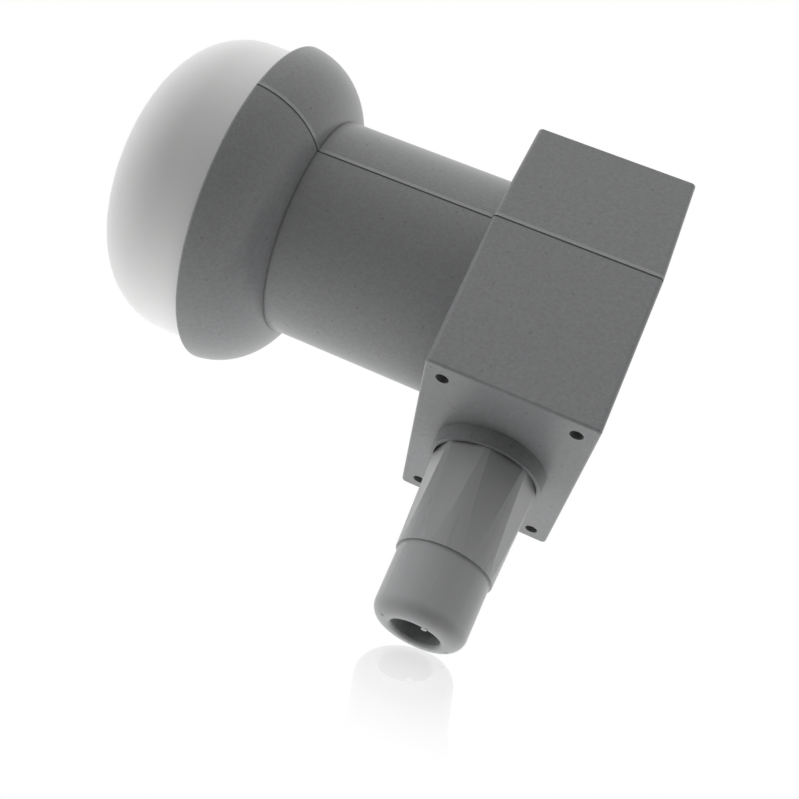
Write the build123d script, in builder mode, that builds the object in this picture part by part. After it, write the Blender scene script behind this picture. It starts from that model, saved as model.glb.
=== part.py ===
from build123d import *
from math import acos, asin, atan, cos, degrees, radians, sin, sqrt
import os

os.makedirs("parts", exist_ok=True)

# A satellite LNB with one output, in millimetres.
# The neck lies along Y and its horn looks towards -Y. The box is behind the neck, and the weather
# boot hangs below the box, towards -Z. The origin is on the neck's axis, half way along the neck.

# Neck and collar
neck_diameter = 40.0
neck_length = 31.0
collar_diameter = 60.0
collar_depth = 11.1
collar_rim_taper = 5.0
collar_rim_round = 0.4

# Box of the housing, above and below the plane where its two shells meet
box_width = 42.0
box_length = 28.3
box_above = 22.2
box_below = 29.4
upper_draft = 0.8
lower_draft = 1.5
box_corner_round = 0.8
box_edge_round = 0.45
shell_wall = 1.8

# Lap joint of the two shells
seam_gap = 0.14
lap_height = 0.8
lap_inset = 0.9
lap_clearance = 0.05

# Corner pins that hold the shells together
pin_radius = 1.0
pin_length = 10.0
pin_inset_x = 4.0
pin_inset_y = 3.8
pin_clearance = 0.05
post_wall = 1.15

# Guide ring under the box, with the ledge that the boot is pushed up to
ring_wall = 0.65
ring_height = 2.76
ledge_gap = 0.25
flange_gap = 0.15

# Weather boot
boot_guide_clearance = 0.05
boot_insertion = 3.6
boot_plug_room = 0.8
boot_mouth_wall = 1.6
boot_sleeve_narrowing = 0.88
boot_sleeve_length = 16.6
boot_end_length = 10.9
boot_flat_count = 8
boot_flat_depth = 0.5
boot_turn = -4.0
boot_step = 0.36
boot_end_narrowing = 0.21
boot_end_round = 2.4
boot_wall = 1.1
boot_end_wall = 2.8
cable_hole_radius = 3.8
cable_hole_round = 0.6
nib_count = 2
nib_reach = 0.2
nib_depth = 1.1
nib_width = 0.85
nib_proud = 0.45
nib_length = 1.15
nib_turn = 17.0

# Horn cap
cap_gap = 0.4
cap_height = 24.0
cap_shoulder_radius = 12.5
cap_face_radius = 45.0
cap_wall = 1.6
cap_seat_depth = 1.1
spigot_step = 1.0
spigot_wall = 1.6
spigot_length = 2.8
bead_height = 0.6
bead_width = 1.0
bead_clearance = 0.05

# Horn, waveguide, board chamber and foot, one casting
waveguide_bore = 17.5
waveguide_wall = 1.6
horn_clearance = 0.2
horn_reach = 5.2
horn_base_depth = 4.5
horn_base_thickness = 3.2
horn_outer_wall = 2.2
mouth_flare = 0.8
slot_count = 3
slot_wall = 1.2
tube_clearance = 0.05
tube_rib_thickness = 1.6
tube_rib_spacing = 16.0
chamber_wall = 1.6
chamber_side_gap = 1.8
chamber_top_gap = 0.8
chamber_post_gap = 0.8
foot_width = 24.0
foot_gap = 0.4
foot_roof = 1.6

# O-rings
cap_seal_section = 1.6
connector_seal_section = 1.3
seal_clearance = 0.02

# Board, gasket and probes
board_thickness = 0.8
gasket_thickness = 0.5
probe_width = 1.2
probe_length = 5.2
probe_inset = 4.0
probe_thickness = 0.06
probe_channel_width = 2.4
probe_channel_depth = 0.8

# Rear cover and its screws
back_short_depth = 6.0
cover_floor = 1.4
screen_wall = 1.2
screw_radius = 1.25
screw_clearance = 0.05
screw_post_wall = 1.1
screw_head_radius = 2.2
screw_head_height = 1.1
screw_length = 9.0
screw_inset_x = 4.4
screw_inset_z = 2.8
screw_cup_gap = 0.45
driver_slot_width = 0.6
driver_slot_depth = 0.5

# Signal socket with a 3/8-32 barrel
barrel_radius = 4.7625
barrel_reach = 16.0
barrel_chamfer = 0.5
shank_radius = 5.0
flange_radius = 6.0
flange_thickness = 1.2
front_bore_radius = 3.4
front_bore_length = 6.4
rear_bore_radius = 2.6
fit_clearance = 0.02
insulator_recess = 0.4
contact_radius = 1.1
contact_recess = 0.5
contact_slot_width = 0.4
contact_slot_length = 6.0
wire_hole_radius = 0.55
wire_hole_length = 8.0
solder_pin_radius = 0.45
solder_pin_reach = 4.0
pin_channel_radius = 1.1

# Parts on the back of the board: width, height, thickness
chip_size = (4.5, 4.5, 0.9)
regulator_size = (6.0, 4.2, 1.6)
crystal_size = (3.2, 2.5, 0.8)
inductor_size = (3.0, 3.0, 2.2)
transistor_size = (2.0, 1.3, 0.8)
capacitor_size = (1.6, 0.8, 0.8)
part_gap = 1.0
chip_x = -5.6
regulator_x = 5.4
side_parts_z = -9.0
transistor_pitch = 4.6
capacitor_pitch = 3.6
capacitor_column_z = 4.6

# Places worked out from the sizes
neck_radius = neck_diameter / 2
collar_radius = collar_diameter / 2
collar_back_y = -neck_length / 2
rim_y = collar_back_y - collar_depth
box_front_y = neck_length / 2
box_back_y = box_front_y + box_length
socket_y = box_front_y + box_length / 2
floor_z = -box_below
inner_floor_z = floor_z + shell_wall
pin_spread_x = box_width - 2 * pin_inset_x
pin_spread_y = box_length - 2 * pin_inset_y
socket_radius = pin_radius + pin_clearance
post_radius = socket_radius + post_wall
ring_z = floor_z - ring_height
waveguide_radius = waveguide_bore / 2
tube_radius = waveguide_radius + waveguide_wall

connector_seal_half = connector_seal_section / 2 + seal_clearance
connector_seal_radius = barrel_radius + connector_seal_half
boot_mouth_radius = connector_seal_radius + connector_seal_half + boot_plug_room
boot_root_radius = boot_mouth_radius + boot_mouth_wall
boot_lip_radius = boot_root_radius - boot_sleeve_narrowing
boot_end_radius = boot_lip_radius - boot_step - boot_end_narrowing
ring_bore_radius = boot_root_radius + boot_guide_clearance
ring_radius = ring_bore_radius + ring_wall
boot_top_z = ring_z + boot_insertion
ledge_z = boot_top_z + ledge_gap
boot_step_z = ring_z - boot_sleeve_length
boot_bottom_z = boot_step_z - boot_end_length

cap_radius = collar_radius - shell_wall - cap_gap
cap_front_y = rim_y - cap_height
cap_seat_y = rim_y + cap_seat_depth
spigot_radius = cap_radius - spigot_step
spigot_bore_radius = spigot_radius - spigot_wall
spigot_end_y = cap_seat_y + spigot_length
bead_y = cap_seat_y + spigot_length / 2
bead_radius = spigot_radius - bead_height

horn_radius = spigot_bore_radius - horn_clearance
horn_mouth_y = rim_y - horn_reach
horn_back_y = rim_y + horn_base_depth
horn_base_y = horn_back_y - horn_base_thickness
cap_seal_y = (horn_base_y + spigot_end_y) / 2
cap_seal_radius = spigot_bore_radius - cap_seal_section / 2 - seal_clearance

chamber_width = box_width - 2 * (shell_wall + chamber_side_gap)
chamber_above = box_above - shell_wall - chamber_top_gap
chamber_below = tube_radius + chip_size[1] + 2 * part_gap + chamber_wall
chamber_height = chamber_above + chamber_below
chamber_centre_z = (chamber_above - chamber_below) / 2
chamber_front_y = box_front_y + pin_inset_y + post_radius + chamber_post_gap
chamber_back_y = box_back_y - pin_inset_y - post_radius - chamber_post_gap - screw_head_height
board_front_y = socket_y + solder_pin_radius
board_back_y = board_front_y + board_thickness
cover_front_y = board_back_y + gasket_thickness
foot_top_z = -chamber_below - foot_gap
screw_hole_radius = screw_radius + screw_clearance
screw_post_radius = screw_hole_radius + screw_post_wall

barrel_end_z = floor_z - barrel_reach
flange_z = inner_floor_z - flange_thickness
shank_top_z = foot_top_z - foot_roof
bore_step_z = barrel_end_z + front_bore_length

boot_axis = Axis((0, socket_y, 0), (0, 0, 1))
boot_section = Plane(origin=(0, socket_y, 0), x_dir=(1, 0, 0), z_dir=(0, -1, 0))
upwards = Plane(origin=(0, socket_y, 0), x_dir=(1, 0, 0), z_dir=(0, 0, 1))
downwards = Plane(origin=(0, socket_y, 0), x_dir=(1, 0, 0), z_dir=(0, 0, -1))


def level(z):
    """A level plane at height z, centred on the boot's axis, facing up."""
    return upwards.offset(z)


def across(y):
    """A plane across the neck's axis at y, facing the horn, with its own y upwards."""
    return Plane(origin=(0, y, 0), x_dir=(1, 0, 0), z_dir=(0, -1, 0))


def save(piece, name):
    """Labels a finished piece and writes its file."""
    piece.part.label = name
    export_step(piece.part, "parts/" + name + ".step")
    print(name, len(piece.part.solids()), "solids", round(piece.part.volume, 1), "mm3")


# Housing: the moulding's envelope, which the walls, the lap joint and the hollow all come from


def collar_arc(inset):
    """Rim, belly and root of the collar's bulge, moved inwards by inset."""
    taper = radians(collar_rim_taper)
    chord = (neck_radius - collar_radius, collar_back_y - rim_y)
    inward = (-cos(taper), -sin(taper))
    along = chord[0] * inward[0] + chord[1] * inward[1]
    bulge = (chord[0] ** 2 + chord[1] ** 2) / (2 * along)
    centre = (collar_radius + bulge * inward[0], rim_y + bulge * inward[1])
    radius = bulge - inset
    rim_angle = asin((rim_y - centre[1]) / radius)
    root_angle = acos((neck_radius - inset - centre[0]) / radius)
    angles = (rim_angle, (rim_angle + root_angle) / 2, root_angle)
    return [(centre[0] + radius * cos(angle), centre[1] + radius * sin(angle)) for angle in angles]


def box_half(seam_plane, height, draft_angle, inset, rounded):
    """One half of the box, drawn on the seam and drafted away from it."""
    with BuildPart() as half:
        with BuildSketch(seam_plane):
            Rectangle(box_width - 2 * inset, box_length - 2 * inset)
        extrude(amount=height - inset, taper=draft_angle)
        if rounded:
            corners = half.edges().filter_by(lambda edge: abs(edge.tangent_at(0.5).Z) > abs(sin(radians(45))))
            fillet(corners, radius=box_corner_round)
            end_face = half.faces().sort_by(Axis(seam_plane.origin, seam_plane.z_dir))[-1]
            fillet(end_face.edges(), radius=box_edge_round)
    return half.part


def housing_envelope(inset, rounded=False):
    """Collar, neck and box as one solid, closed at the rim and moved inwards by inset."""
    rim, belly, root = collar_arc(inset)
    neck_end = (neck_radius - inset, box_front_y + 2 * shell_wall)
    box_upper = box_half(upwards, box_above, upper_draft, inset, rounded)
    box_lower = box_half(downwards, box_below, lower_draft, inset, rounded)
    with BuildPart() as envelope:
        with BuildSketch(Plane.XY):
            with BuildLine():
                Polyline((0, neck_end[1]), (0, rim_y), rim)
                ThreePointArc(rim, belly, root)
                Polyline(root, neck_end, (0, neck_end[1]))
            make_face()
        revolve(axis=Axis.Y)
        if rounded:
            rim_edge = envelope.edges().filter_by(GeomType.CIRCLE).group_by(Axis.Y)[0]
            fillet(rim_edge, radius=collar_rim_round)
        add(box_upper)
        add(box_lower)
    return envelope.part


def lap_ring(outer_inset, inner_inset, bottom_z, top_z):
    """A strip of the wall's thickness that follows the seam, between two insets."""
    outside = housing_envelope(outer_inset)
    inside = housing_envelope(inner_inset)
    with BuildPart() as strip:
        add(outside)
        add(inside, mode=Mode.SUBTRACT)
        split(bisect_by=Plane.XY.offset(bottom_z), keep=Keep.TOP)
        split(bisect_by=Plane.XY.offset(top_z), keep=Keep.BOTTOM)
    return strip.part


outside = housing_envelope(0, rounded=True)
middle = housing_envelope(shell_wall / 2)
hollow = housing_envelope(shell_wall)
half_gap = seam_gap / 2
tongue = lap_ring(lap_inset + lap_clearance, shell_wall - lap_clearance, -shell_wall, lap_height)
tongue_seat = lap_ring(lap_inset, shell_wall, -shell_wall, lap_height + lap_clearance)

# Rings inside the housing: two ribs that carry the waveguide, and the bead that holds the cap
with BuildPart() as inner_rings:
    for side in (-1, 1):
        with BuildSketch(across(side * tube_rib_spacing / 2)):
            Circle(neck_radius)
            Circle(tube_radius + tube_clearance, mode=Mode.SUBTRACT)
        extrude(amount=tube_rib_thickness / 2, both=True)
    with BuildSketch(across(bead_y)):
        Circle(collar_radius)
        Circle(bead_radius + bead_clearance, mode=Mode.SUBTRACT)
    extrude(amount=bead_width / 2 - bead_clearance, both=True)
    add(middle, mode=Mode.INTERSECT)

with BuildPart() as housing:
    add(outside)
    add(hollow, mode=Mode.SUBTRACT)
    add(inner_rings.part)

# Upper shell: four posts with pins that enter the lower shell's sockets
with BuildPart() as upper_shell:
    add(housing.part)
    split(bisect_by=Plane.XY.offset(half_gap), keep=Keep.TOP)
    with BuildSketch(level(half_gap)):
        with GridLocations(pin_spread_x, pin_spread_y, 2, 2):
            Circle(post_radius)
    extrude(amount=box_above - shell_wall / 2 - half_gap)
    add(tongue_seat, mode=Mode.SUBTRACT)
    with BuildSketch(level(half_gap)):
        with GridLocations(pin_spread_x, pin_spread_y, 2, 2):
            Circle(pin_radius)
    extrude(amount=-pin_length)
save(upper_shell, "upper_shell")

# Lower shell: the tongue of the lap joint, the pins' sockets, the guide ring and the boot's ledge
with BuildPart() as lower_shell:
    add(housing.part)
    split(bisect_by=Plane.XY.offset(-half_gap), keep=Keep.BOTTOM)
    with BuildSketch(level(-half_gap)):
        with GridLocations(pin_spread_x, pin_spread_y, 2, 2):
            Circle(post_radius)
    extrude(amount=-(box_below - shell_wall / 2 - half_gap))
    add(tongue)
    with BuildSketch(level(floor_z + shell_wall / 2)):
        Circle(ring_radius)
    extrude(amount=-(ring_height + shell_wall / 2))
    with BuildSketch(level(ring_z)):
        Circle(ring_bore_radius)
    extrude(amount=ledge_z - ring_z, mode=Mode.SUBTRACT)
    with BuildSketch(level(ledge_z)):
        Circle(flange_radius + flange_gap)
    extrude(amount=inner_floor_z - ledge_z, mode=Mode.SUBTRACT)
    with BuildSketch(level(floor_z)):
        with GridLocations(pin_spread_x, pin_spread_y, 2, 2):
            Circle(socket_radius)
    extrude(amount=box_below, mode=Mode.SUBTRACT)
save(lower_shell, "lower_shell")

# Weather boot: a cone cut by eight leaning flats that run out at the step, then the rounded end
flat_apothem = boot_root_radius - boot_flat_depth
flat_lean = degrees(atan((flat_apothem - boot_lip_radius) / boot_sleeve_length))
flat_top_apothem = flat_apothem + boot_insertion * (flat_apothem - boot_lip_radius) / boot_sleeve_length
sleeve_length = boot_top_z - boot_step_z

with BuildPart() as boot_flats:
    with BuildSketch(level(boot_top_z)):
        RegularPolygon(flat_top_apothem, boot_flat_count, major_radius=False, rotation=boot_turn)
    extrude(amount=-sleeve_length, taper=flat_lean)

with BuildPart() as weather_boot:
    with BuildSketch(boot_section):
        with BuildLine():
            Polyline(
                (0, boot_top_z),
                (boot_root_radius, boot_top_z),
                (boot_root_radius, ring_z),
                (boot_lip_radius, boot_step_z),
                (0, boot_step_z),
                close=True,
            )
        make_face()
    revolve(axis=boot_axis)
    add(boot_flats.part, mode=Mode.INTERSECT)
    with BuildSketch(boot_section):
        with BuildLine():
            Polyline(
                (0, boot_step_z),
                (boot_lip_radius - boot_step, boot_step_z),
                (boot_end_radius, boot_bottom_z),
                (0, boot_bottom_z),
                close=True,
            )
        make_face()
    revolve(axis=boot_axis)
    end_edge = weather_boot.edges().filter_by(GeomType.CIRCLE).sort_by(Axis.Z)[0]
    fillet(end_edge, radius=boot_end_round)
    with BuildSketch(boot_section):
        with BuildLine():
            Polyline(
                (0, boot_top_z),
                (boot_mouth_radius, boot_top_z),
                (boot_end_radius - boot_wall, boot_bottom_z + boot_end_wall),
                (0, boot_bottom_z + boot_end_wall),
                close=True,
            )
        make_face()
    revolve(axis=boot_axis, mode=Mode.SUBTRACT)
    with BuildSketch(level(boot_bottom_z)):
        Circle(cable_hole_radius)
    extrude(amount=boot_end_wall, mode=Mode.SUBTRACT)
    hole_edge = weather_boot.edges().filter_by(GeomType.CIRCLE).group_by(Axis.Z)[0].sort_by(SortBy.LENGTH)[0]
    fillet(hole_edge, radius=cable_hole_round)
    with BuildSketch(level(boot_bottom_z - nib_proud)):
        with PolarLocations(cable_hole_radius - nib_reach + nib_depth / 2, nib_count, start_angle=nib_turn):
            SlotOverall(nib_depth, nib_width)
    extrude(amount=nib_length)
save(weather_boot, "weather_boot")


# Horn cap: a domed face, a rounded shoulder, a short wall and a grooved spigot


def dome_arcs(inset):
    """Draws the cap's face and shoulder as two tangent arcs, moved inwards by inset."""
    shoulder_x = cap_radius - cap_shoulder_radius
    face_y = cap_front_y + cap_face_radius
    reach = cap_face_radius - cap_shoulder_radius
    shoulder_y = face_y - sqrt(reach**2 - shoulder_x**2)
    spread = degrees(asin(shoulder_x / reach))
    CenterArc((0, face_y), cap_face_radius - inset, -90, spread)
    CenterArc((shoulder_x, shoulder_y), cap_shoulder_radius - inset, spread - 90, 90 - spread)
    return shoulder_y


groove_half = bead_width / 2
bore_step_y = cap_seat_y - cap_wall
with BuildPart() as horn_cap:
    with BuildSketch(Plane.XY):
        with BuildLine():
            shoulder_y = dome_arcs(0)
            Polyline(
                (cap_radius, shoulder_y),
                (cap_radius, cap_seat_y),
                (spigot_radius, cap_seat_y),
                (spigot_radius, bead_y - groove_half),
                (bead_radius, bead_y - groove_half),
                (bead_radius, bead_y + groove_half),
                (spigot_radius, bead_y + groove_half),
                (spigot_radius, spigot_end_y),
                (spigot_bore_radius, spigot_end_y),
                (spigot_bore_radius, bore_step_y),
                (cap_radius - cap_wall, bore_step_y),
                (cap_radius - cap_wall, shoulder_y),
            )
            dome_arcs(cap_wall)
            Line((0, cap_front_y), (0, cap_front_y + cap_wall))
        make_face()
    revolve(axis=Axis.Y)
save(horn_cap, "horn_cap")

with BuildPart() as cap_seal:
    with BuildSketch(Plane.XY):
        with Locations((cap_seal_radius, cap_seal_y)):
            Circle(cap_seal_section / 2)
    revolve(axis=Axis.Y)
save(cap_seal, "cap_seal")


# Board chamber: the outlines that casting, board, gasket and cover share

screw_corner_x = chamber_width / 2 - screw_inset_x
screw_middle_x = tube_radius + screw_cup_gap + screw_head_radius
screw_rows = [
    (screw_corner_x, screw_inset_z - chamber_below),
    (screw_middle_x, 0),
    (screw_corner_x, chamber_above - screw_inset_z),
]
screw_places = [(side * x, z) for x, z in screw_rows for side in (-1, 1)]


def chamber_outline(inset, mode=Mode.ADD):
    """Draws the chamber's outline, moved inwards by inset."""
    with Locations((0, chamber_centre_z)):
        Rectangle(chamber_width - 2 * inset, chamber_height - 2 * inset, mode=mode)


def screw_circles(radius, mode=Mode.ADD):
    """Draws a circle at each screw."""
    with Locations(*screw_places):
        Circle(radius, mode=mode)


def cover_walls():
    """Draws the rear cover's frame, cup, screens and screw posts."""
    chamber_outline(0)
    chamber_outline(chamber_wall, mode=Mode.SUBTRACT)
    Circle(tube_radius)
    screw_circles(screw_post_radius)
    Rectangle(chamber_width, screen_wall)
    Circle(waveguide_radius, mode=Mode.SUBTRACT)
    screw_circles(screw_hole_radius, mode=Mode.SUBTRACT)


# Feed horn: horn disc and tube turned, chamber and foot added, then slots, bores and channels cut
slot_zone = horn_radius - horn_outer_wall - tube_radius
slot_width = (slot_zone - (slot_count - 1) * slot_wall) / slot_count
seal_half = cap_seal_section / 2 + seal_clearance
groove_floor = cap_seal_radius - seal_half
chamber_depth = board_front_y - chamber_front_y
foot_depth = chamber_back_y - chamber_front_y

with BuildPart() as feed_horn:
    with BuildSketch(Plane.XY):
        with BuildLine():
            Polyline(
                (0, horn_mouth_y),
                (horn_radius, horn_mouth_y),
                (horn_radius, cap_seal_y - seal_half),
                (groove_floor, cap_seal_y - seal_half),
                (groove_floor, cap_seal_y + seal_half),
                (horn_radius, cap_seal_y + seal_half),
                (horn_radius, horn_back_y),
                (tube_radius, horn_back_y),
                (tube_radius, board_front_y),
                (0, board_front_y),
                close=True,
            )
        make_face()
    revolve(axis=Axis.Y)
    with BuildSketch(across(chamber_front_y)):
        chamber_outline(0)
    extrude(amount=-chamber_depth)
    with BuildSketch(across(chamber_front_y + chamber_wall)):
        chamber_outline(chamber_wall)
        Circle(tube_radius, mode=Mode.SUBTRACT)
        screw_circles(screw_post_radius, mode=Mode.SUBTRACT)
    extrude(amount=chamber_wall - chamber_depth, mode=Mode.SUBTRACT)
    with BuildSketch(level(inner_floor_z)):
        with Locations((0, (chamber_front_y + chamber_back_y) / 2 - socket_y)):
            Rectangle(foot_width, foot_depth)
    extrude(amount=foot_top_z - inner_floor_z)
    with BuildSketch(level(foot_top_z)):
        with Locations((0, (chamber_front_y + board_front_y) / 2 - socket_y)):
            Rectangle(foot_width, chamber_depth)
    extrude(amount=foot_gap)
    for slot in range(slot_count):
        slot_inner = tube_radius + slot * (slot_width + slot_wall)
        with BuildSketch(across(horn_mouth_y)):
            Circle(slot_inner + slot_width)
            Circle(slot_inner, mode=Mode.SUBTRACT)
        extrude(amount=horn_mouth_y - horn_base_y, mode=Mode.SUBTRACT)
    with BuildSketch(Plane.XY):
        with BuildLine():
            Polyline(
                (0, horn_mouth_y),
                (waveguide_radius + mouth_flare, horn_mouth_y),
                (waveguide_radius, horn_base_y),
                (waveguide_radius, board_front_y),
                (0, board_front_y),
                close=True,
            )
        make_face()
    revolve(axis=Axis.Y, mode=Mode.SUBTRACT)
    with BuildSketch(across(board_front_y)):
        screw_circles(screw_hole_radius)
    extrude(amount=screw_length + board_back_y - chamber_back_y, mode=Mode.SUBTRACT)
    with BuildSketch(across(board_front_y)):
        with Locations((0, tube_radius / 2 + waveguide_radius / 2)):
            Rectangle(probe_channel_width, 2 * waveguide_wall)
        with Locations((tube_radius / 2 + waveguide_radius / 2, 0)):
            Rectangle(2 * waveguide_wall, probe_channel_width)
    extrude(amount=probe_channel_depth, mode=Mode.SUBTRACT)
    with BuildSketch(level(inner_floor_z)):
        Circle(shank_radius + fit_clearance)
    extrude(amount=shank_top_z + fit_clearance - inner_floor_z, mode=Mode.SUBTRACT)
    with BuildSketch(level(shank_top_z)):
        Circle(pin_channel_radius)
    extrude(amount=solder_pin_reach + foot_top_z - shank_top_z, mode=Mode.SUBTRACT)
save(feed_horn, "feed_horn")

with BuildPart() as circuit_board:
    with BuildSketch(across(board_front_y)):
        chamber_outline(0)
        screw_circles(screw_hole_radius, mode=Mode.SUBTRACT)
    extrude(amount=-board_thickness)
save(circuit_board, "circuit_board")

# Probes: two printed strips at right angles, from the waveguide's wall towards its middle
probe_middle = probe_inset + probe_length / 2
with BuildPart() as signal_probes:
    with BuildSketch(across(board_front_y)):
        with Locations((0, probe_middle)):
            Rectangle(probe_width, probe_length)
        with Locations((probe_middle, 0)):
            Rectangle(probe_length, probe_width)
    extrude(amount=probe_thickness)
save(signal_probes, "signal_probes")

with BuildPart() as cover_gasket:
    with BuildSketch(across(board_back_y)):
        cover_walls()
    extrude(amount=-gasket_thickness)
save(cover_gasket, "cover_gasket")

# Rear cover: walls on the gasket, a floor over them and the back-short's cup standing out
cover_depth = chamber_back_y - cover_front_y
with BuildPart() as back_cover:
    with BuildSketch(across(cover_front_y)):
        cover_walls()
    extrude(amount=-cover_depth)
    with BuildSketch(across(chamber_back_y)):
        chamber_outline(0)
        screw_circles(screw_hole_radius, mode=Mode.SUBTRACT)
    extrude(amount=cover_floor)
    with BuildSketch(across(chamber_back_y - cover_floor)):
        Circle(tube_radius)
    extrude(amount=-(back_short_depth + 2 * cover_floor - cover_depth))
    with BuildSketch(across(cover_front_y)):
        Circle(waveguide_radius)
    extrude(amount=-back_short_depth, mode=Mode.SUBTRACT)
save(back_cover, "back_cover")

# Screws: pan heads with a cross slot, each a solid of its own
with BuildPart() as cover_screws:
    with BuildSketch(across(chamber_back_y)):
        screw_circles(screw_radius)
    extrude(amount=screw_length)
    with BuildSketch(across(chamber_back_y)):
        screw_circles(screw_head_radius)
    extrude(amount=-screw_head_height)
    with BuildSketch(across(chamber_back_y + screw_head_height)):
        with Locations(*screw_places):
            Rectangle(2 * screw_radius, driver_slot_width)
            Rectangle(driver_slot_width, 2 * screw_radius)
    extrude(amount=driver_slot_depth, mode=Mode.SUBTRACT)
save(cover_screws, "cover_screws")


# Signal socket: barrel, insulator, contact and seal, all turned about the boot's axis


def turned(points):
    """A solid turned about the boot's axis from its half section of (radius, height) points."""
    with BuildPart() as piece:
        with BuildSketch(boot_section):
            with BuildLine():
                Polyline(*points, close=True)
            make_face()
        revolve(axis=boot_axis)
    return piece.part


barrel_points = [
    (front_bore_radius, barrel_end_z),
    (barrel_radius - barrel_chamfer, barrel_end_z),
    (barrel_radius, barrel_end_z + barrel_chamfer),
    (barrel_radius, flange_z),
    (flange_radius, flange_z),
    (flange_radius, inner_floor_z),
    (shank_radius, inner_floor_z),
    (shank_radius, shank_top_z),
    (rear_bore_radius, shank_top_z),
    (rear_bore_radius, bore_step_z),
    (front_bore_radius, bore_step_z),
]
with BuildPart() as f_connector:
    add(turned(barrel_points))
save(f_connector, "f_connector")

insulator_bore = contact_radius + fit_clearance
insulator_points = [
    (insulator_bore, barrel_end_z + insulator_recess),
    (front_bore_radius - fit_clearance, barrel_end_z + insulator_recess),
    (front_bore_radius - fit_clearance, bore_step_z),
    (rear_bore_radius - fit_clearance, bore_step_z),
    (rear_bore_radius - fit_clearance, shank_top_z),
    (insulator_bore, shank_top_z),
]
with BuildPart() as connector_insulator:
    add(turned(insulator_points))
save(connector_insulator, "connector_insulator")

contact_end_z = barrel_end_z + contact_recess
solder_pin_z = foot_top_z + solder_pin_reach
contact_points = [
    (0, contact_end_z + wire_hole_length),
    (wire_hole_radius, contact_end_z + wire_hole_length),
    (wire_hole_radius, contact_end_z),
    (contact_radius, contact_end_z),
    (contact_radius, shank_top_z),
    (solder_pin_radius, shank_top_z),
    (solder_pin_radius, solder_pin_z),
    (0, solder_pin_z),
]
with BuildPart() as center_contact:
    add(turned(contact_points))
    with BuildSketch(level(contact_end_z)):
        Rectangle(3 * contact_radius, contact_slot_width)
        Rectangle(contact_slot_width, 3 * contact_radius)
    extrude(amount=contact_slot_length, mode=Mode.SUBTRACT)
save(center_contact, "center_contact")

with BuildPart() as connector_seal:
    with BuildSketch(boot_section):
        with Locations((connector_seal_radius, flange_z - connector_seal_half)):
            Circle(connector_seal_section / 2)
    revolve(axis=boot_axis)
save(connector_seal, "connector_seal")


# Parts on the back of the board


def mounted(size, places):
    """Flat packages that stand on the back of the board, one at each place."""
    width, height, thickness = size
    with BuildPart() as packages:
        with BuildSketch(across(board_back_y)):
            with Locations(*places):
                Rectangle(width, height)
        extrude(amount=-thickness)
    return packages


side_wall_x = chamber_width / 2 - chamber_wall - part_gap
chip_z = -(tube_radius + part_gap + chip_size[1] / 2)
transistor_z = tube_radius + part_gap + transistor_size[1] / 2
capacitor_row_z = chamber_above - chamber_wall - part_gap - capacitor_size[1] / 2
capacitor_column_x = side_wall_x - capacitor_size[0] / 2
crystal_x = side_wall_x - crystal_size[0] / 2
inductor_x = side_wall_x - inductor_size[0] / 2
capacitor_row = [(step * capacitor_pitch, capacitor_row_z) for step in range(-2, 3)]
capacitor_columns = [
    (side * capacitor_column_x, step * capacitor_column_z) for side in (-1, 1) for step in (-1, 1)
]
transistor_row = [(step * transistor_pitch, transistor_z) for step in (-1, 0, 1)]
save(mounted(chip_size, [(chip_x, chip_z)]), "downconverter_chip")
save(mounted(regulator_size, [(regulator_x, chip_z)]), "voltage_regulator")
save(mounted(crystal_size, [(crystal_x, side_parts_z)]), "reference_crystal")
save(mounted(inductor_size, [(-inductor_x, side_parts_z)]), "surge_inductor")
save(mounted(transistor_size, transistor_row), "amplifier_transistors")
save(mounted(capacitor_size, capacitor_row + capacitor_columns), "chip_capacitors")
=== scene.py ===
# %% [markdown]
# # A satellite LNB on a white sweep
# The product is a small moulded housing with a white horn cap at one end and a weather boot under
# its box. The solid model already has every outside shape, so most of this lesson is about
# surface: spark-eroded plastic, a translucent cap, castings, rubber and metal. Only two shapes
# are new here: the end of the boot, where one nib leans into the cable hole, and the socket's
# thread, which shows when the boot is pulled down.

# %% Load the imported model
import math

import bmesh
import bpy
from mathutils import Matrix, Vector


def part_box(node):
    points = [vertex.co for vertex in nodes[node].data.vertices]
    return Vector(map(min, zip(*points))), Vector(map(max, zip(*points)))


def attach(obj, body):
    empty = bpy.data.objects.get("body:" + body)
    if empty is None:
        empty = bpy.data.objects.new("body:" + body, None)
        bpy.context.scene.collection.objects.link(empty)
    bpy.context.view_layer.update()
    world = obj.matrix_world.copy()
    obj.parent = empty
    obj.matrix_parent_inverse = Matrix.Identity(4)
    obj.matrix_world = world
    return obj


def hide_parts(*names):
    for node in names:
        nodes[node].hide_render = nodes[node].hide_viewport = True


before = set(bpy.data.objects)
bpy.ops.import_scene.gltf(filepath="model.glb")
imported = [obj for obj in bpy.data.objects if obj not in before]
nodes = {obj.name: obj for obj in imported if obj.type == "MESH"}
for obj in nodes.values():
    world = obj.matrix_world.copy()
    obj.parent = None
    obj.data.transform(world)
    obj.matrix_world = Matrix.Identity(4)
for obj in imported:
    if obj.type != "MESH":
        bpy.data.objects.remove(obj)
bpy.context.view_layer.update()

# %% [markdown]
# ## Tools for the finishes
# Every finish starts from a Principled shader. Its even values sit on the shader's own sockets,
# and what varies over the surface comes from noise on the piece's own coordinates, so a pattern
# stays on a piece when it moves. Small helpers start a material, make a pattern, vary the colour
# along it and raise a grain.

# %% Helpers: material, patterns, tone and grain
MM = 0.001


def start_finish(name, colour, roughness, metallic=0.0):
    """A material whose shader has its even values set, with its node tree and shader."""
    material = bpy.data.materials.new(name)
    material.use_nodes = True
    tree = material.node_tree
    shader = tree.nodes["Principled BSDF"]
    shader.inputs["Base Color"].default_value = (*colour, 1.0)
    shader.inputs["Roughness"].default_value = roughness
    shader.inputs["Metallic"].default_value = metallic
    material.diffuse_color = (*colour, 1.0)
    return material, tree, shader


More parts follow.
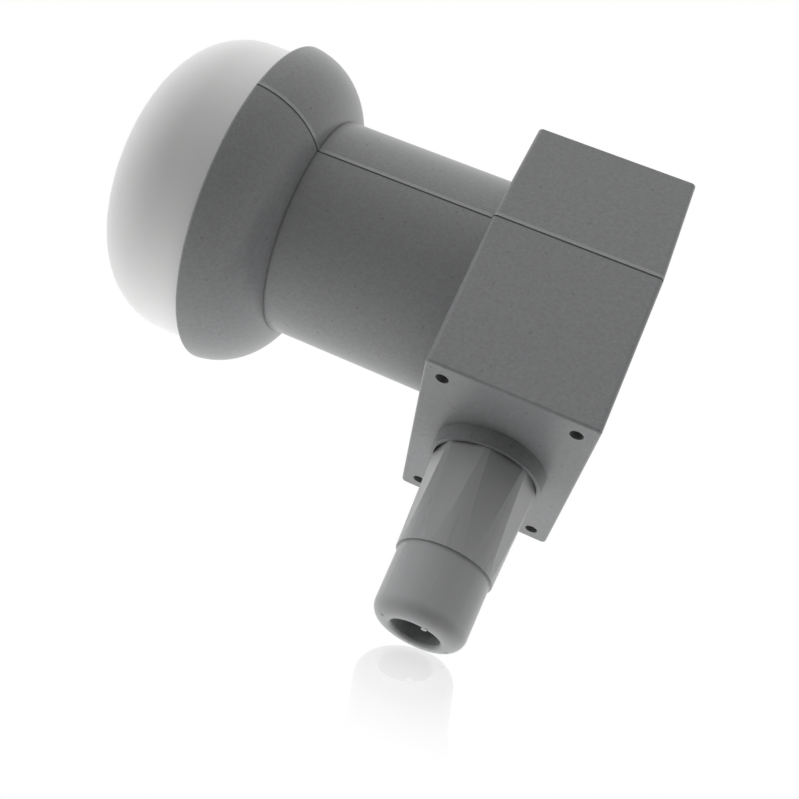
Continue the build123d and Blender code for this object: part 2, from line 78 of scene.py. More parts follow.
def piece_coordinates(tree):
    """The piece's own coordinates, in metres."""
    return tree.nodes.new("ShaderNodeTexCoord").outputs["Object"]


def noise(tree, size_mm, detail=2.0, stretch=(1.0, 1.0, 1.0)):
    """Noise whose cells are about size_mm across, stretched along the axes where asked."""
    mapping = tree.nodes.new("ShaderNodeMapping")
    mapping.inputs["Scale"].default_value = stretch
    texture = tree.nodes.new("ShaderNodeTexNoise")
    texture.inputs["Scale"].default_value = 1.0 / (size_mm * MM)
    texture.inputs["Detail"].default_value = detail
    tree.links.new(piece_coordinates(tree), mapping.inputs["Vector"])
    tree.links.new(mapping.outputs["Vector"], texture.inputs["Vector"])
    return texture.outputs["Fac"]


def cells(tree, size_mm):
    """A random level in each cell of about size_mm, as a spark-eroded mould leaves."""
    texture = tree.nodes.new("ShaderNodeTexVoronoi")
    texture.inputs["Scale"].default_value = 1.0 / (size_mm * MM)
    tree.links.new(piece_coordinates(tree), texture.inputs["Vector"])
    return texture.outputs["Color"]


def spread(tree, value, low, high, start=0.3, end=0.7):
    """Maps a noise value from start..end to low..high."""
    ramp = tree.nodes.new("ShaderNodeMapRange")
    ramp.inputs["From Min"].default_value = start
    ramp.inputs["From Max"].default_value = end
    ramp.inputs["To Min"].default_value = low
    ramp.inputs["To Max"].default_value = high
    tree.links.new(value, ramp.inputs["Value"])
    return ramp.outputs["Result"]


def combined(tree, operation, first, second):
    """The result of a Math node on two sockets."""
    node = tree.nodes.new("ShaderNodeMath")
    node.operation = operation
    tree.links.new(first, node.inputs[0])
    tree.links.new(second, node.inputs[1])
    return node.outputs[0]


def shaded(colour, factor):
    """The colour, lighter or darker by a factor."""
    return tuple(channel * factor for channel in colour)


def tone(tree, shader, dark, light, pattern):
    """Lets the colour wander between two tones along a pattern."""
    mix = tree.nodes.new("ShaderNodeMix")
    mix.data_type = "RGBA"
    mix.inputs[6].default_value = (*dark, 1.0)
    mix.inputs[7].default_value = (*light, 1.0)
    tree.links.new(pattern, mix.inputs[0])
    tree.links.new(mix.outputs[2], shader.inputs["Base Color"])
    return mix.outputs[2]


def stain_and_shade(tree, shader, base, colour, mask):
    """Covers the base colour with another colour where the mask is more than zero, for gate marks
    and painted shade.
    """
    mix = tree.nodes.new("ShaderNodeMix")
    mix.data_type = "RGBA"
    mix.inputs[7].default_value = (*colour, 1.0)
    tree.links.new(mask, mix.inputs[0])
    tree.links.new(base, mix.inputs[6])
    tree.links.new(mix.outputs[2], shader.inputs["Base Color"])


def raise_grain(tree, shader, height, depth_mm, strength=1.0, before=None):
    """Turns a height pattern into a bump of depth_mm, on top of an earlier bump if there is one."""
    bump = tree.nodes.new("ShaderNodeBump")
    bump.inputs["Strength"].default_value = strength
    bump.inputs["Distance"].default_value = depth_mm * MM
    tree.links.new(height, bump.inputs["Height"])
    if before is not None:
        tree.links.new(before.outputs["Normal"], bump.inputs["Normal"])
    tree.links.new(bump.outputs["Normal"], shader.inputs["Normal"])
    return bump


def dress(name, material):
    """Gives a carried-over piece its finish."""
    mesh = nodes[name].data
    if not mesh.materials:
        mesh.materials.append(material)
    for index in range(len(mesh.materials)):
        mesh.materials[index] = material
    print(name, "has", material.name)


# %% [markdown]
# ## Housing plastic
# The shells are grey ABS from a spark-eroded mould: an even grain a third of a millimetre across.
# A noise makes the bump, and random cells of about the same size change tone and roughness a
# little. Both shells share one finish, because they come from one batch of plastic. Along the
# joint the upper shell's edge swells a little, which catches the light. Painted shade darkens the
# gap's lower lip and the corner between neck and collar. None of this is geometry.

# %% Grey moulded shells
SHELL_GREY = (0.252, 0.255, 0.260)
SHELL_GRAIN_MM = 0.34
SHELL_SPECK_MM = 0.4
SEAM_SWELL = (0.10, 0.75)
SWELL_HEIGHT_MM = 0.2
# Painted shade on the seam's lower lip and in the corner between neck and collar: its reaches in
# mm, the corner's strongest share and its grey.
SEAM_PAINTED_SHADE = (0.14, 0.34)
CORNER_PAINTED_SHADE = (0.05, 0.4)
CORNER_PAINTED_SHADE_MOST = 0.5
PAINTED_SHADE_GREY = (0.03, 0.03, 0.03)
NECK_RADIUS = 20.0 * MM
COLLAR_BACK_Y = -15.5 * MM


def height_above_seam(tree):
    """The height over the plane where the shells meet, which is at zero, in metres."""
    split = tree.nodes.new("ShaderNodeSeparateXYZ")
    tree.links.new(piece_coordinates(tree), split.inputs[0])
    return split.outputs["Z"]


def corner_painted_shade(tree):
    """More than zero in the corner where the neck meets the collar, where shade is painted."""
    flat = tree.nodes.new("ShaderNodeVectorMath")
    flat.operation = "MULTIPLY"
    flat.inputs[1].default_value = (1.0, 0.0, 1.0)
    tree.links.new(piece_coordinates(tree), flat.inputs[0])
    radius = tree.nodes.new("ShaderNodeVectorMath")
    radius.operation = "LENGTH"
    tree.links.new(flat.outputs[0], radius.inputs[0])
    split = tree.nodes.new("ShaderNodeSeparateXYZ")
    tree.links.new(piece_coordinates(tree), split.inputs[0])
    place = tree.nodes.new("ShaderNodeCombineXYZ")
    tree.links.new(radius.outputs["Value"], place.inputs["X"])
    tree.links.new(split.outputs["Y"], place.inputs["Y"])
    distance = tree.nodes.new("ShaderNodeVectorMath")
    distance.operation = "DISTANCE"
    distance.inputs[1].default_value = (NECK_RADIUS, COLLAR_BACK_Y, 0.0)
    tree.links.new(place.outputs[0], distance.inputs[0])
    near, far = (reach * MM for reach in CORNER_PAINTED_SHADE)
    return spread(tree, distance.outputs["Value"], CORNER_PAINTED_SHADE_MOST, 0.0, near, far)


def lip_painted_shade(tree, height):
    """More than zero on the lower lip of the seam, where shade is painted."""
    dust_and_shade = spread(tree, height, 0.0, 1.0, -SEAM_PAINTED_SHADE[1] * MM, -SEAM_PAINTED_SHADE[0] * MM)
    below = tree.nodes.new("ShaderNodeMath")
    below.operation = "LESS_THAN"
    below.inputs[1].default_value = 0.0
    tree.links.new(height, below.inputs[0])
    return combined(tree, "MULTIPLY", dust_and_shade, below.outputs[0])


def moulded_shell():
    """Grained grey plastic with a swollen seam, and painted shade on its lower lip and in the
    neck's corner.
    """
    material, tree, shader = start_finish("shell_plastic", SHELL_GREY, 0.3)
    grain = noise(tree, SHELL_GRAIN_MM, detail=1.0)
    speck = cells(tree, SHELL_SPECK_MM)
    base = tone(tree, shader, shaded(SHELL_GREY, 0.9), shaded(SHELL_GREY, 1.1), speck)
    tree.links.new(spread(tree, speck, 0.27, 0.34, 0.0, 1.0), shader.inputs["Roughness"])
    height = height_above_seam(tree)
    # Painted shade: the seam's lower lip and the corner between neck and collar are darkened in the
    # colour.
    dust_and_shade = combined(tree, "MAXIMUM", lip_painted_shade(tree, height), corner_painted_shade(tree))
    stain_and_shade(tree, shader, base, PAINTED_SHADE_GREY, dust_and_shade)
    skin = raise_grain(tree, shader, grain, 0.012, strength=0.7)
    swell = spread(tree, height, 1.0, 0.0, SEAM_SWELL[0] * MM, SEAM_SWELL[1] * MM)
    raise_grain(tree, shader, swell, SWELL_HEIGHT_MM, strength=1.0, before=skin)
    return material


shell_plastic = moulded_shell()
for piece in ("upper_shell", "lower_shell"):
    dress(piece, shell_plastic)

# %% [markdown]
# ## Boot plastic
# The boot comes from a polished mould, so it is smoother than the shells, with faint flow marks
# along its length. Two small gate marks sit beside the cable hole. They are far too small to be
# worth geometry, so the distance to each mark drives a dark dimple. The solid model's two nibs
# stand out of the end face as plain pegs. The photo shows one of them, leaning into the hole, so
# a copy of the boot leans the near nib and presses the far one flush with the rim. The copy takes
# the boot's place.

# %% Smooth boot with gate marks
BOOT_GREY = (0.385, 0.389, 0.395)
boot_low, boot_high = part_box("weather_boot")
boot_axis_y = (boot_low.y + boot_high.y) / 2
NIB_TURN = math.radians(17.0)
HOLE_RADIUS = 3.8 * MM
HOLE_ROUND = 0.6 * MM
NIB_SIDE = Vector((math.cos(NIB_TURN), math.sin(NIB_TURN), 0.0))
NIB_START = 3.5 * MM
NIB_END = 4.8 * MM
NIB_HALF_WIDTH = 0.5 * MM
NIB_PROUD = 0.45 * MM
NIB_LEAN = 0.45 * MM
NIB_ROOT = 0.8 * MM
NIB_FOOT = 0.05 * MM
NIB_TIP = 0.06 * MM
boot_end_z = boot_low.z + NIB_PROUD
GATE_TURNS = (107.0, 287.0)
GATE_REACH = 5.3 * MM
GATE_RISE = 0.13 * MM
GATE_RADIUS_MM = 0.34
GATE_DEPTH_MM = 0.08
GATE_GREY = (0.10, 0.10, 0.10)


def gate_mark(tree, place, radius_mm):
    """One where the surface is within radius_mm of place, falling to zero at its edge."""
    distance = tree.nodes.new("ShaderNodeVectorMath")
    distance.operation = "DISTANCE"
    distance.inputs[1].default_value = place
    tree.links.new(piece_coordinates(tree), distance.inputs[0])
    return spread(tree, distance.outputs["Value"], 1.0, 0.0, radius_mm * 0.5 * MM, radius_mm * MM)


def moulded_boot():
    """Smooth grey plastic with flow marks along the boot and two gate marks at its end."""
    material, tree, shader = start_finish("boot_plastic", BOOT_GREY, 0.3)
    shader.inputs["Subsurface Weight"].default_value = 0.3
    shader.inputs["Subsurface Radius"].default_value = (1.0, 1.0, 1.0)
    shader.inputs["Subsurface Scale"].default_value = 2.5 * MM
    flow = noise(tree, 1.6, detail=3.0, stretch=(1.0, 1.0, 0.12))
    fine = noise(tree, 0.22, detail=2.0)
    base = tone(tree, shader, shaded(BOOT_GREY, 0.93), shaded(BOOT_GREY, 1.07), flow)
    tree.links.new(spread(tree, flow, 0.27, 0.35), shader.inputs["Roughness"])
    marks = None
    for turn in GATE_TURNS:
        angle = math.radians(turn)
        place = Vector((math.cos(angle), math.sin(angle), 0.0)) * GATE_REACH
        place += Vector((0.0, boot_axis_y, boot_end_z + GATE_RISE))
        mark = gate_mark(tree, place, GATE_RADIUS_MM)
        marks = mark if marks is None else combined(tree, "MAXIMUM", marks, mark)
    stain_and_shade(tree, shader, base, GATE_GREY, marks)
    grain = raise_grain(tree, shader, fine, 0.006, strength=0.7)
    raise_grain(tree, shader, marks, -GATE_DEPTH_MM, strength=1.0, before=grain)
    return material


def on_plain_rim(place):
    """The nearest point of the cable hole's rounded rim without nibs, and the normal there."""
    outward = Vector((place.x, place.y - boot_axis_y, 0.0))
    radius = outward.length
    round_radius = HOLE_RADIUS + HOLE_ROUND
    round_z = boot_end_z + HOLE_ROUND
    lean = Vector((min(radius - round_radius, 0.0), min(place.z - round_z, 0.0))).normalized()
    radius = max(radius, round_radius) + lean.x * HOLE_ROUND
    height = max(place.z, round_z) + lean.y * HOLE_ROUND
    outward.normalize()
    rim = Vector((outward.x * radius, outward.y * radius + boot_axis_y, height))
    return rim, outward * lean.x + Vector((0.0, 0.0, lean.y))


def boot_with_one_nib():
    """A copy of the boot: its near nib leans into the cable hole, the far one is pressed flush."""
    data = nodes["weather_boot"].data.copy()
    normals = [Vector(corner.vector) for corner in data.corner_normals]
    flush = {}
    for vertex in data.vertices:
        place = vertex.co
        along = -place.x * NIB_SIDE.x - (place.y - boot_axis_y) * NIB_SIDE.y
        across = abs(place.x * NIB_SIDE.y - (place.y - boot_axis_y) * NIB_SIDE.x)
        in_far_nib = NIB_START < along < NIB_END and across < NIB_HALF_WIDTH
        if in_far_nib and place.z < boot_end_z + NIB_ROOT:
            place, flush[vertex.index] = on_plain_rim(place)
        elif place.z < boot_end_z - NIB_FOOT:
            place = place - NIB_SIDE * NIB_LEAN
            place.z = boot_end_z + NIB_TIP
        vertex.co = place
    for corner in data.loops:
        if corner.vertex_index in flush:
            normals[corner.index] = flush[corner.vertex_index]
    data.normals_split_custom_set(normals)
    piece = bpy.data.objects.new("moulded_boot", data)
    bpy.context.scene.collection.objects.link(piece)
    print("nib corners pressed flush:", len(flush))
    return piece


dress("weather_boot", moulded_boot())
boot = boot_with_one_nib()
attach(boot, "boot")
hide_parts("weather_boot")

# %% [markdown]
# ## Horn cap
# The cap is thin white polypropylene that microwaves pass through, and a little light does too. A
# small share of subsurface scattering softens its shading. Its surface is satin, with the faint
# ripple that a thick-thin moulding has.

# %% Translucent white cap
CAP_WHITE = (0.90, 0.90, 0.89)


def moulded_cap():
    """White plastic with soft shading and a faint ripple."""
    material, tree, shader = start_finish("cap_plastic", CAP_WHITE, 0.38)
    shader.inputs["Subsurface Weight"].default_value = 0.25
    shader.inputs["Subsurface Radius"].default_value = (1.0, 0.95, 0.9)
    shader.inputs["Subsurface Scale"].default_value = 3.0 * MM
    ripple = noise(tree, 9.0, detail=1.0)
    fine = noise(tree, 0.4, detail=2.0)
    tone(tree, shader, (0.88, 0.88, 0.87), (0.92, 0.92, 0.912), ripple)
    tree.links.new(spread(tree, fine, 0.34, 0.44), shader.inputs["Roughness"])
    soft = raise_grain(tree, shader, ripple, 0.05, strength=0.5)
    raise_grain(tree, shader, fine, 0.008, strength=0.5, before=soft)
    return material


dress("horn_cap", moulded_cap())

# %% [markdown]
# ## Castings
# The horn and the rear cover are die castings. As cast, the metal is dull and a little mottled,
# which two sizes of noise on roughness and bump give. The same recipe serves both, with a
# slightly darker tone for the cover.

# %% Die-cast horn and cover


def casting(name, colour, mottle_mm):
    """Dull cast metal with mottles of about mottle_mm and fine pores."""
    material, tree, shader = start_finish(name, colour, 0.45, metallic=1.0)
    mottle = noise(tree, mottle_mm, detail=4.0)
    pores = noise(tree, 0.3, detail=3.0)
    tone(tree, shader, shaded(colour, 0.88), shaded(colour, 1.08), mottle)
    tree.links.new(spread(tree, mottle, 0.38, 0.58), shader.inputs["Roughness"])
    skin = raise_grain(tree, shader, mottle, 0.03, strength=0.5)
    raise_grain(tree, shader, pores, 0.012, strength=0.6, before=skin)
    return material


dress("feed_horn", casting("horn_casting", (0.60, 0.61, 0.62), 2.2))
dress("back_cover", casting("cover_casting", (0.55, 0.56, 0.57), 1.8))

# %% [markdown]
# ## Turned and plated metal
# Screws, the socket and its contact are turned and then plated. Turning leaves fine rings round
# the axis, so the noise is squeezed along that axis and stretched round it. The crystal's brushed
# lid and the printed copper probes use the same recipe with other stretches.

# %% Screws, contact, crystal lid and probes


def turned_metal(name, colour, roughness, stretch, groove_mm=0.008):
    """Bare or plated metal with fine grooves and faint tarnish."""
    material, tree, shader = start_finish(name, colour, roughness, metallic=1.0)
    rings = noise(tree, 0.5, detail=3.0, stretch=stretch)
    tarnish = noise(tree, 1.4, detail=2.0)
    tone(tree, shader, shaded(colour, 0.86), shaded(colour, 1.06), tarnish)
    shine = spread(tree, tarnish, roughness - 0.05, roughness + 0.09)
    tree.links.new(shine, shader.inputs["Roughness"])
    raise_grain(tree, shader, rings, groove_mm, strength=0.6)
    return material


NICKEL = (0.66, 0.64, 0.60)
SCREW_ZINC = (0.56, 0.56, 0.54)
CONTACT_BRASS = (0.72, 0.56, 0.30)
CRYSTAL_LID = (0.62, 0.62, 0.60)
PROBE_COPPER = (0.72, 0.42, 0.26)
ROUND_Y = (0.2, 5.0, 0.2)
ROUND_Z = (0.2, 0.2, 5.0)
BRUSHED = (4.0, 1.0, 0.3)
EVEN = (1.0, 1.0, 1.0)
dress("cover_screws", turned_metal("screw_steel", SCREW_ZINC, 0.34, ROUND_Y))
dress("center_contact", turned_metal("contact_brass", CONTACT_BRASS, 0.28, ROUND_Z))
dress("reference_crystal", turned_metal("crystal_can", CRYSTAL_LID, 0.3, BRUSHED, 0.004))
dress("signal_probes", turned_metal("probe_copper", PROBE_COPPER, 0.36, EVEN, 0.004))

# %% [markdown]
# ## Rubber
# The two O-rings and the cover's gasket are soft and matt. The gasket is filled with metal
# flakes, which a fine voronoi pattern shows as bright specks.

# %% Seals and gasket


def seal_rubber(name, colour, roughness):
    """Soft matt rubber, a little dusty."""
    material, tree, shader = start_finish(name, colour, roughness)
    shader.inputs["Sheen Weight"].default_value = 0.15
    dust_and_shade = noise(tree, 0.6, detail=3.0)
    tone(tree, shader, colour, shaded(colour, 1.6), dust_and_shade)
    shine = spread(tree, dust_and_shade, roughness - 0.08, roughness + 0.08)
    tree.links.new(shine, shader.inputs["Roughness"])
    raise_grain(tree, shader, dust_and_shade, 0.012, strength=0.5)
    return material


def flaked_gasket():
    """Dark rubber with bright metal flakes."""
    material, tree, shader = start_finish("gasket_rubber", (0.09, 0.09, 0.095), 0.6)
    flakes = tree.nodes.new("ShaderNodeTexVoronoi")
    flakes.inputs["Scale"].default_value = 1.0 / (0.25 * MM)
    tree.links.new(piece_coordinates(tree), flakes.inputs["Vector"])
    shine = spread(tree, flakes.outputs["Distance"], 1.0, 0.0, 0.1, 0.35)
    tone(tree, shader, (0.08, 0.08, 0.085), (0.34, 0.34, 0.35), shine)
    tree.links.new(shine, shader.inputs["Metallic"])
    raise_grain(tree, shader, flakes.outputs["Distance"], 0.01, strength=0.6)
    return material


dress("cap_seal", seal_rubber("cap_seal_rubber", (0.018, 0.018, 0.019), 0.55))
dress("connector_seal", seal_rubber("connector_seal_rubber", (0.02, 0.02, 0.021), 0.5))
dress("cover_gasket", flaked_gasket())

# %% [markdown]
# ## Board and its parts
# The board is green solder mask over copper. A brick pattern stands for the ground copper and the
# gaps between tracks, which show through the mask as two greens. The packages are dark moulding
# resin, apart from the tan ceramic capacitors. The same recipe serves the socket's insulator.

# %% Solder mask and packages


def solder_mask():
    """Glossy green lacquer over a pattern of copper."""
    material, tree, shader = start_finish("board_laminate", (0.01, 0.07, 0.03), 0.35)
    shader.inputs["Coat Weight"].default_value = 0.4
    tracks = tree.nodes.new("ShaderNodeTexBrick")
    tracks.inputs["Scale"].default_value = 1.0 / (4.0 * MM)
    tracks.inputs["Mortar Size"].default_value = 0.09
    tracks.inputs["Mortar Smooth"].default_value = 0.2
    tracks.inputs["Color1"].default_value = (1.0, 1.0, 1.0, 1.0)
    tracks.inputs["Color2"].default_value = (0.8, 0.8, 0.8, 1.0)
    tracks.inputs["Mortar"].default_value = (0.0, 0.0, 0.0, 1.0)
    turn = tree.nodes.new("ShaderNodeMapping")
    turn.inputs["Rotation"].default_value = (math.radians(90), 0.0, 0.0)
    tree.links.new(piece_coordinates(tree), turn.inputs["Vector"])
    tree.links.new(turn.outputs["Vector"], tracks.inputs["Vector"])
    tone(tree, shader, (0.006, 0.045, 0.02), (0.02, 0.13, 0.055), tracks.outputs["Color"])
    weave = noise(tree, 0.5, detail=2.0)
    tree.links.new(spread(tree, weave, 0.28, 0.42), shader.inputs["Roughness"])
    copper = raise_grain(tree, shader, tracks.outputs["Color"], 0.035, strength=0.8)
    raise_grain(tree, shader, weave, 0.004, strength=0.4, before=copper)
    return material


def package(name, colour, roughness, grain_mm):
    """Moulded or fired material with a grain of about grain_mm."""
    material, tree, shader = start_finish(name, colour, roughness)
    grain = noise(tree, grain_mm, detail=3.0)
    tone(tree, shader, shaded(colour, 0.8), shaded(colour, 1.3), grain)
    shine = spread(tree, grain, roughness - 0.07, roughness + 0.07)
    tree.links.new(shine, shader.inputs["Roughness"])
    raise_grain(tree, shader, grain, 0.008, strength=0.6)
    return material


dress("circuit_board", solder_mask())
dress("downconverter_chip", package("chip_resin", (0.02, 0.02, 0.021), 0.5, 0.12))
dress("voltage_regulator", package("regulator_resin", (0.024, 0.024, 0.025), 0.55, 0.15))
dress("amplifier_transistors", package("transistor_resin", (0.03, 0.03, 0.031), 0.5, 0.1))
dress("surge_inductor", package("inductor_ferrite", (0.045, 0.042, 0.042), 0.7, 0.2))
dress("chip_capacitors", package("capacitor_ceramic", (0.34, 0.2, 0.1), 0.35, 0.2))
dress("connector_insulator", package("insulator_plastic", (0.7, 0.7, 0.66), 0.35, 0.3))

# %% [markdown]
# ## The socket's thread
# A plain barrel would look wrong once the boot is pulled down, so the barrel is made again with
# its 3/8-32 thread. The thread is one small trapezium spun round the axis while it climbs, and
# the barrel's core is an outline spun once. A boolean union makes one clean closed mesh of the
# two.

# %% Threaded barrel
THREAD_PITCH = 25.4 / 32 * MM
THREAD_DEPTH = 0.45 * MM
THREAD_START = 0.9 * MM
THREAD_RUNOUT = 1.4 * MM
RIDGE_SINK = 0.06 * MM
STEPS_PER_TURN = 40
STEPS_ROUND = 96
socket_low, socket_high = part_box("f_connector")
insulator_low, insulator_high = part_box("connector_insulator")
socket_y = (socket_low.y + socket_high.y) / 2
barrel_radius = 4.7625 * MM
root_radius = barrel_radius - THREAD_DEPTH
flange_radius = (socket_high.x - socket_low.x) / 2
bore_radius = (insulator_high.x - insulator_low.x) / 2 + 0.02 * MM
rear_bore_radius = 2.6 * MM
shank_radius = 5.0 * MM
shank_foot_z = socket_high.z - 7.35 * MM
flange_low_z = shank_foot_z - 1.2 * MM
bore_step_z = socket_low.z + 6.4 * MM


def spun(points, angle, steps, climb=0.0, closed=False):
    """A bmesh made by spinning a chain of (radius, height) points round the socket's axis."""
    mesh = bmesh.new()
    chain = [mesh.verts.new((radius, socket_y, height)) for radius, height in points]
    edges = [mesh.edges.new(pair) for pair in zip(chain, chain[1:])]
    if closed:
        edges.append(mesh.edges.new((chain[-1], chain[0])))
    bmesh.ops.spin(
        mesh,
        geom=chain + edges,
        cent=(0.0, socket_y, 0.0),
        axis=(0.0, 0.0, 1.0),
        dvec=(0.0, 0.0, climb / steps),
        angle=angle,
        steps=steps,
        use_merge=not climb,
    )
    return mesh


def finished(mesh, name):
    """Closes seams, turns the faces outwards and makes an object of a bmesh."""
    bmesh.ops.remove_doubles(mesh, verts=mesh.verts, dist=1e-6)
    bmesh.ops.recalc_face_normals(mesh, faces=mesh.faces)
    data = bpy.data.meshes.new(name)
    mesh.to_mesh(data)
    mesh.free()
    piece = bpy.data.objects.new(name, data)
    bpy.context.scene.collection.objects.link(piece)
    return piece


def barrel_core():
    """The barrel without its ridges: nose, root, flange, shank and stepped bore."""
    nose = 0.35 * MM
    edge = 0.12 * MM
    outline = [
        (bore_radius, socket_low.z),
        (root_radius - nose, socket_low.z),
        (root_radius, socket_low.z + nose),
        (root_radius, flange_low_z),
        (flange_radius - edge, flange_low_z),
        (flange_radius, flange_low_z + edge),
        (flange_radius, shank_foot_z),
        (shank_radius, shank_foot_z),
        (shank_radius, socket_high.z),
        (rear_bore_radius, socket_high.z),
        (rear_bore_radius, bore_step_z),
        (bore_radius, bore_step_z),
    ]
    return finished(spun(outline, math.tau, STEPS_ROUND, closed=True), "barrel_core")


def thread_ridge():
    """The climbing ridge, from just above the nose to just short of the flange."""
    first_z = socket_low.z + THREAD_START
    turns = math.floor((flange_low_z - first_z - THREAD_RUNOUT) / THREAD_PITCH)
    half_root, half_crest = THREAD_PITCH * 0.46, THREAD_PITCH * 0.09
    sunk = root_radius - RIDGE_SINK
    profile = [
        (sunk, first_z - half_root),
        (barrel_radius, first_z - half_crest),
        (barrel_radius, first_z + half_crest),
        (sunk, first_z + half_root),
    ]
    steps, climb = STEPS_PER_TURN * turns, THREAD_PITCH * turns
    mesh = spun(profile, math.tau * turns, steps, climb=climb, closed=True)
    bmesh.ops.holes_fill(mesh, edges=mesh.edges, sides=4)
    print("thread turns:", turns)
    return finished(mesh, "thread_ridge")


def threaded_barrel():
    """Joins ridge and core into one piece that stands for the plain barrel."""
    core, ridge = barrel_core(), thread_ridge()
    union = core.modifiers.new("join", "BOOLEAN")
    union.operation = "UNION"
    union.solver = "EXACT"
    union.object = ridge
    depsgraph = bpy.context.evaluated_depsgraph_get()
    data = bpy.data.meshes.new_from_object(core.evaluated_get(depsgraph))
    data.name = "threaded_barrel"
    piece = bpy.data.objects.new("threaded_barrel", data)
    bpy.context.scene.collection.objects.link(piece)
    for spare in (ridge, core):
        bpy.data.objects.remove(spare)
    print("threaded_barrel faces:", len(data.polygons))
    return piece


socket_barrel = threaded_barrel()
socket_barrel.data.materials.append(turned_metal("socket_nickel", NICKEL, 0.24, ROUND_Z))
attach(socket_barrel, "lnb")
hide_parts("f_connector")

# %% [markdown]
# ## Floor with a faint reflection
# The product leans on the end of its boot on a glossy white table. Where the table is empty it is
# as white as the backdrop, and near the boot it shows a pale reflection that fades with distance.
# The floor's shader mixes plain white with a mirror, and the mirror's share falls with the
# distance from the point of contact. It is a large disc, whose underside lets the light through,
# so that it never hides the product from below. It stays where it is when the boot is pulled down,
# so from above it hides the part of the boot that has slid under it.

# %% Table
CONTACT = Vector((-5.23, 31.25, -59.56)) * MM
TABLE_NORMAL = Vector((0.39134, -0.11881, 0.91255)).normalized()
TABLE_RADIUS = 900.0 * MM
REFLECTION_SHARE = 0.3
REFLECTION_REACH = (8.0, 72.0)


def table_disc():
    """A disc through the point of contact, square to the table's normal."""
    mesh = bmesh.new()
    bmesh.ops.create_circle(mesh, cap_ends=True, segments=64, radius=TABLE_RADIUS)
    turn = TABLE_NORMAL.to_track_quat("Z", "Y").to_matrix().to_4x4()
    bmesh.ops.transform(mesh, matrix=Matrix.Translation(CONTACT) @ turn, verts=mesh.verts)
    data = bpy.data.meshes.new("table")
    mesh.to_mesh(data)
    mesh.free()
    table = bpy.data.objects.new("table", data)
    bpy.context.scene.collection.objects.link(table)
    return table


def white_where_seen(tree):
    """One for rays that come from the camera, a mirror or glass, and zero for light on surfaces."""
    path = tree.nodes.new("ShaderNodeLightPath")
    seen = path.outputs["Is Camera Ray"]
    for other in ("Is Glossy Ray", "Is Transmission Ray"):
        seen = combined(tree, "MAXIMUM", seen, path.outputs[other])
    return seen


def mix_shaders(tree, share, first, second):
    """The first shader where the share is zero, and the second where it is one."""
    mix = tree.nodes.new("ShaderNodeMixShader")
    tree.links.new(share, mix.inputs[0])
    tree.links.new(first, mix.inputs[1])
    tree.links.new(second, mix.inputs[2])
    return mix.outputs[0]


def table_finish():
    """White with a fading mirror from above, and clear from below."""
    material = bpy.data.materials.new("table_gloss")
    material.use_nodes = True
    tree = material.node_tree
    tree.nodes.remove(tree.nodes["Principled BSDF"])
    white = tree.nodes.new("ShaderNodeEmission")
    mirror = tree.nodes.new("ShaderNodeBsdfGlossy")
    mirror.inputs["Color"].default_value = (1.0, 1.0, 1.0, 1.0)
    mirror.inputs["Roughness"].default_value = 0.03
    clear = tree.nodes.new("ShaderNodeBsdfTransparent")
    distance = tree.nodes.new("ShaderNodeVectorMath")
    distance.operation = "DISTANCE"
    distance.inputs[1].default_value = CONTACT
    tree.links.new(piece_coordinates(tree), distance.inputs[0])
    near, far = (reach * MM for reach in REFLECTION_REACH)
    share = spread(tree, distance.outputs["Value"], REFLECTION_SHARE, 0.0, near, far)
    shown = mix_shaders(tree, share, white.outputs[0], mirror.outputs[0])
    front = mix_shaders(tree, white_where_seen(tree), clear.outputs[0], shown)
    side = tree.nodes.new("ShaderNodeNewGeometry")
    both = mix_shaders(tree, side.outputs["Backfacing"], front, clear.outputs[0])
    tree.links.new(both, tree.nodes["Material Output"].inputs["Surface"])
    return material


table = table_disc()
table.data.materials.append(table_finish())
table_tilt = math.degrees(TABLE_NORMAL.angle(Vector((0, 0, 1))))
print("table leans", round(table_tilt, 1), "degrees from level")

# %% [markdown]
# ## Backdrop and light
# The photo was lit in a bright tent: bright behind, darker from where the camera looks. So
# surfaces that face the camera are the darkest and every edge glows. The world does the same with
# soft bands along fixed directions: the tent's walls, its bright top, the glow of the table, and
# two small lights, one beside the horn cap and one below. It is plain white wherever it is seen
# directly.

# %% World
VIEW_SIDE = Vector((0.81749, 0.18863, -0.54418)).normalized()
TOP_SIDE = Vector((0.42, -0.40, 0.81)).normalized()
TABLE_SIDE = Vector((-0.60, 0.40, -0.69)).normalized()
HORN_SIDE = Vector((0.4, -0.9, 0.1)).normalized()
UNDER_SIDE = Vector((-0.45, 0.1, -0.89)).normalized()
TENT_WALLS = ((-1.0, 0.25), (-0.52, 0.6), (-0.08, 1.3), (0.15, 0.5), (0.35, 0.0))
TENT_TOP = ((0.0, 0.0), (1.0, 0.7))
TABLE_GLOW = ((0.3, 0.0), (1.0, 0.9))
HORN_LIGHT = ((0.7, 0.0), (1.0, 0.4))
UNDER_LIGHT = ((0.75, 0.0), (1.0, 0.6))
BANDS = (
    (TOP_SIDE, TENT_TOP),
    (TABLE_SIDE, TABLE_GLOW),
    (HORN_SIDE, HORN_LIGHT),
    (UNDER_SIDE, UNDER_LIGHT),
)


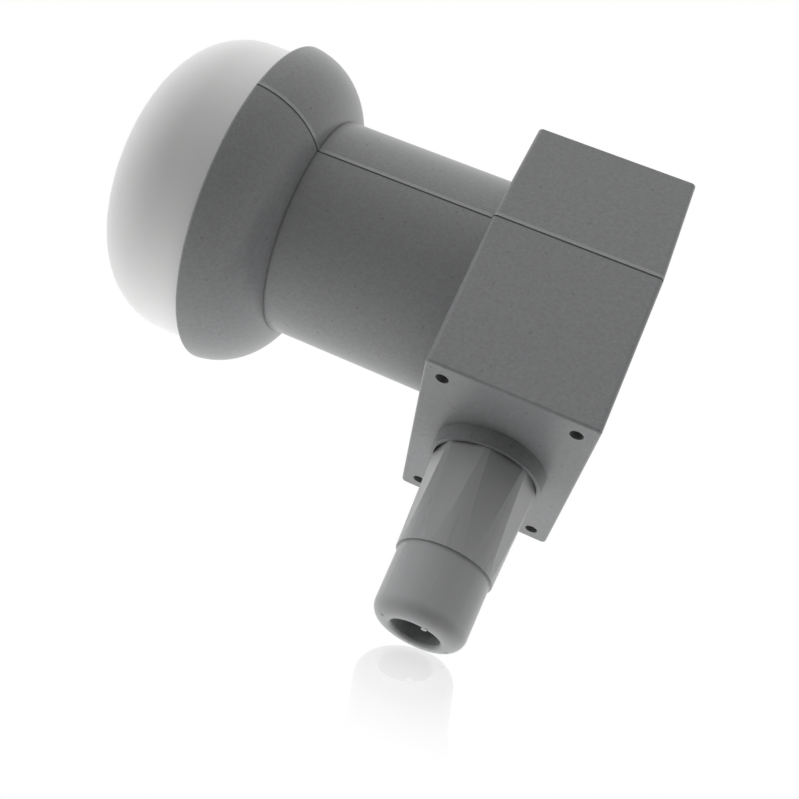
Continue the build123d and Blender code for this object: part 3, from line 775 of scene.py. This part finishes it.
def light_band(tree, direction, axis, steps):
    """Light that depends on how far a direction points along an axis: steps are (share, level)."""
    along = tree.nodes.new("ShaderNodeVectorMath")
    along.operation = "DOT_PRODUCT"
    along.inputs[1].default_value = axis
    tree.links.new(direction, along.inputs[0])
    ramp = tree.nodes.new("ShaderNodeValToRGB")
    elements = ramp.color_ramp.elements
    while len(elements) < len(steps):
        elements.new(0.5)
    for element, (share, level) in zip(elements, steps):
        element.position = (share + 1.0) / 2.0
        element.color = (level, level, level, 1.0)
    tree.links.new(spread(tree, along.outputs["Value"], 0.0, 1.0, -1.0, 1.0), ramp.inputs["Fac"])
    return ramp.outputs["Color"]


def tent_light():
    """The world: the sum of all bands for light on surfaces, and white where it is seen."""
    world = bpy.data.worlds.new("tent")
    bpy.context.scene.world = world
    world.use_nodes = True
    tree = world.node_tree
    direction = tree.nodes.new("ShaderNodeTexCoord").outputs["Generated"]
    total = light_band(tree, direction, VIEW_SIDE, TENT_WALLS)
    for axis, steps in BANDS:
        total = combined(tree, "ADD", total, light_band(tree, direction, axis, steps))
    level = tree.nodes.new("ShaderNodeMix")
    level.inputs[3].default_value = 1.0
    tree.links.new(white_where_seen(tree), level.inputs[0])
    tree.links.new(total, level.inputs[2])
    tree.links.new(level.outputs[0], tree.nodes["Background"].inputs["Strength"])
    tree.nodes["Background"].inputs["Color"].default_value = (1.0, 1.0, 1.0, 1.0)


tent_light()
print("tent light: walls", TENT_WALLS[0][1], "top", TENT_TOP[-1][1], "table", TABLE_GLOW[-1][1])

# %% [markdown]
# ## Camera
# The camera's place, turn and lens were worked out from the neck's 40 mm and the box's edges. The
# photo is a crop whose optical axis isn't at its middle, so the lens is shifted a little.

# %% Camera
CAMERA_PLACE = Vector((143.577, 34.530, -105.612)) * MM
CAMERA_RIGHT = Vector((0.06546, 0.90830, 0.41317))
CAMERA_UP = Vector((0.57222, -0.37339, 0.73017))
SENSOR_WIDTH_MM = 36.0
LENS_MM = 45.81
LENS_SHIFT = (0.0275, -0.1214)


def photo_camera():
    """The camera that took the photo."""
    data = bpy.data.cameras.new("photo_camera")
    data.sensor_width = SENSOR_WIDTH_MM
    data.lens = LENS_MM
    data.shift_x, data.shift_y = LENS_SHIFT
    data.clip_start = 0.01
    data.clip_end = 20.0
    camera = bpy.data.objects.new("photo_camera", data)
    bpy.context.scene.collection.objects.link(camera)
    turn = Matrix((CAMERA_RIGHT, CAMERA_UP, VIEW_SIDE)).transposed().to_4x4()
    camera.matrix_world = Matrix.Translation(CAMERA_PLACE) @ turn
    bpy.context.scene.camera = camera


photo_camera()
bpy.context.scene.view_settings.view_transform = "Standard"
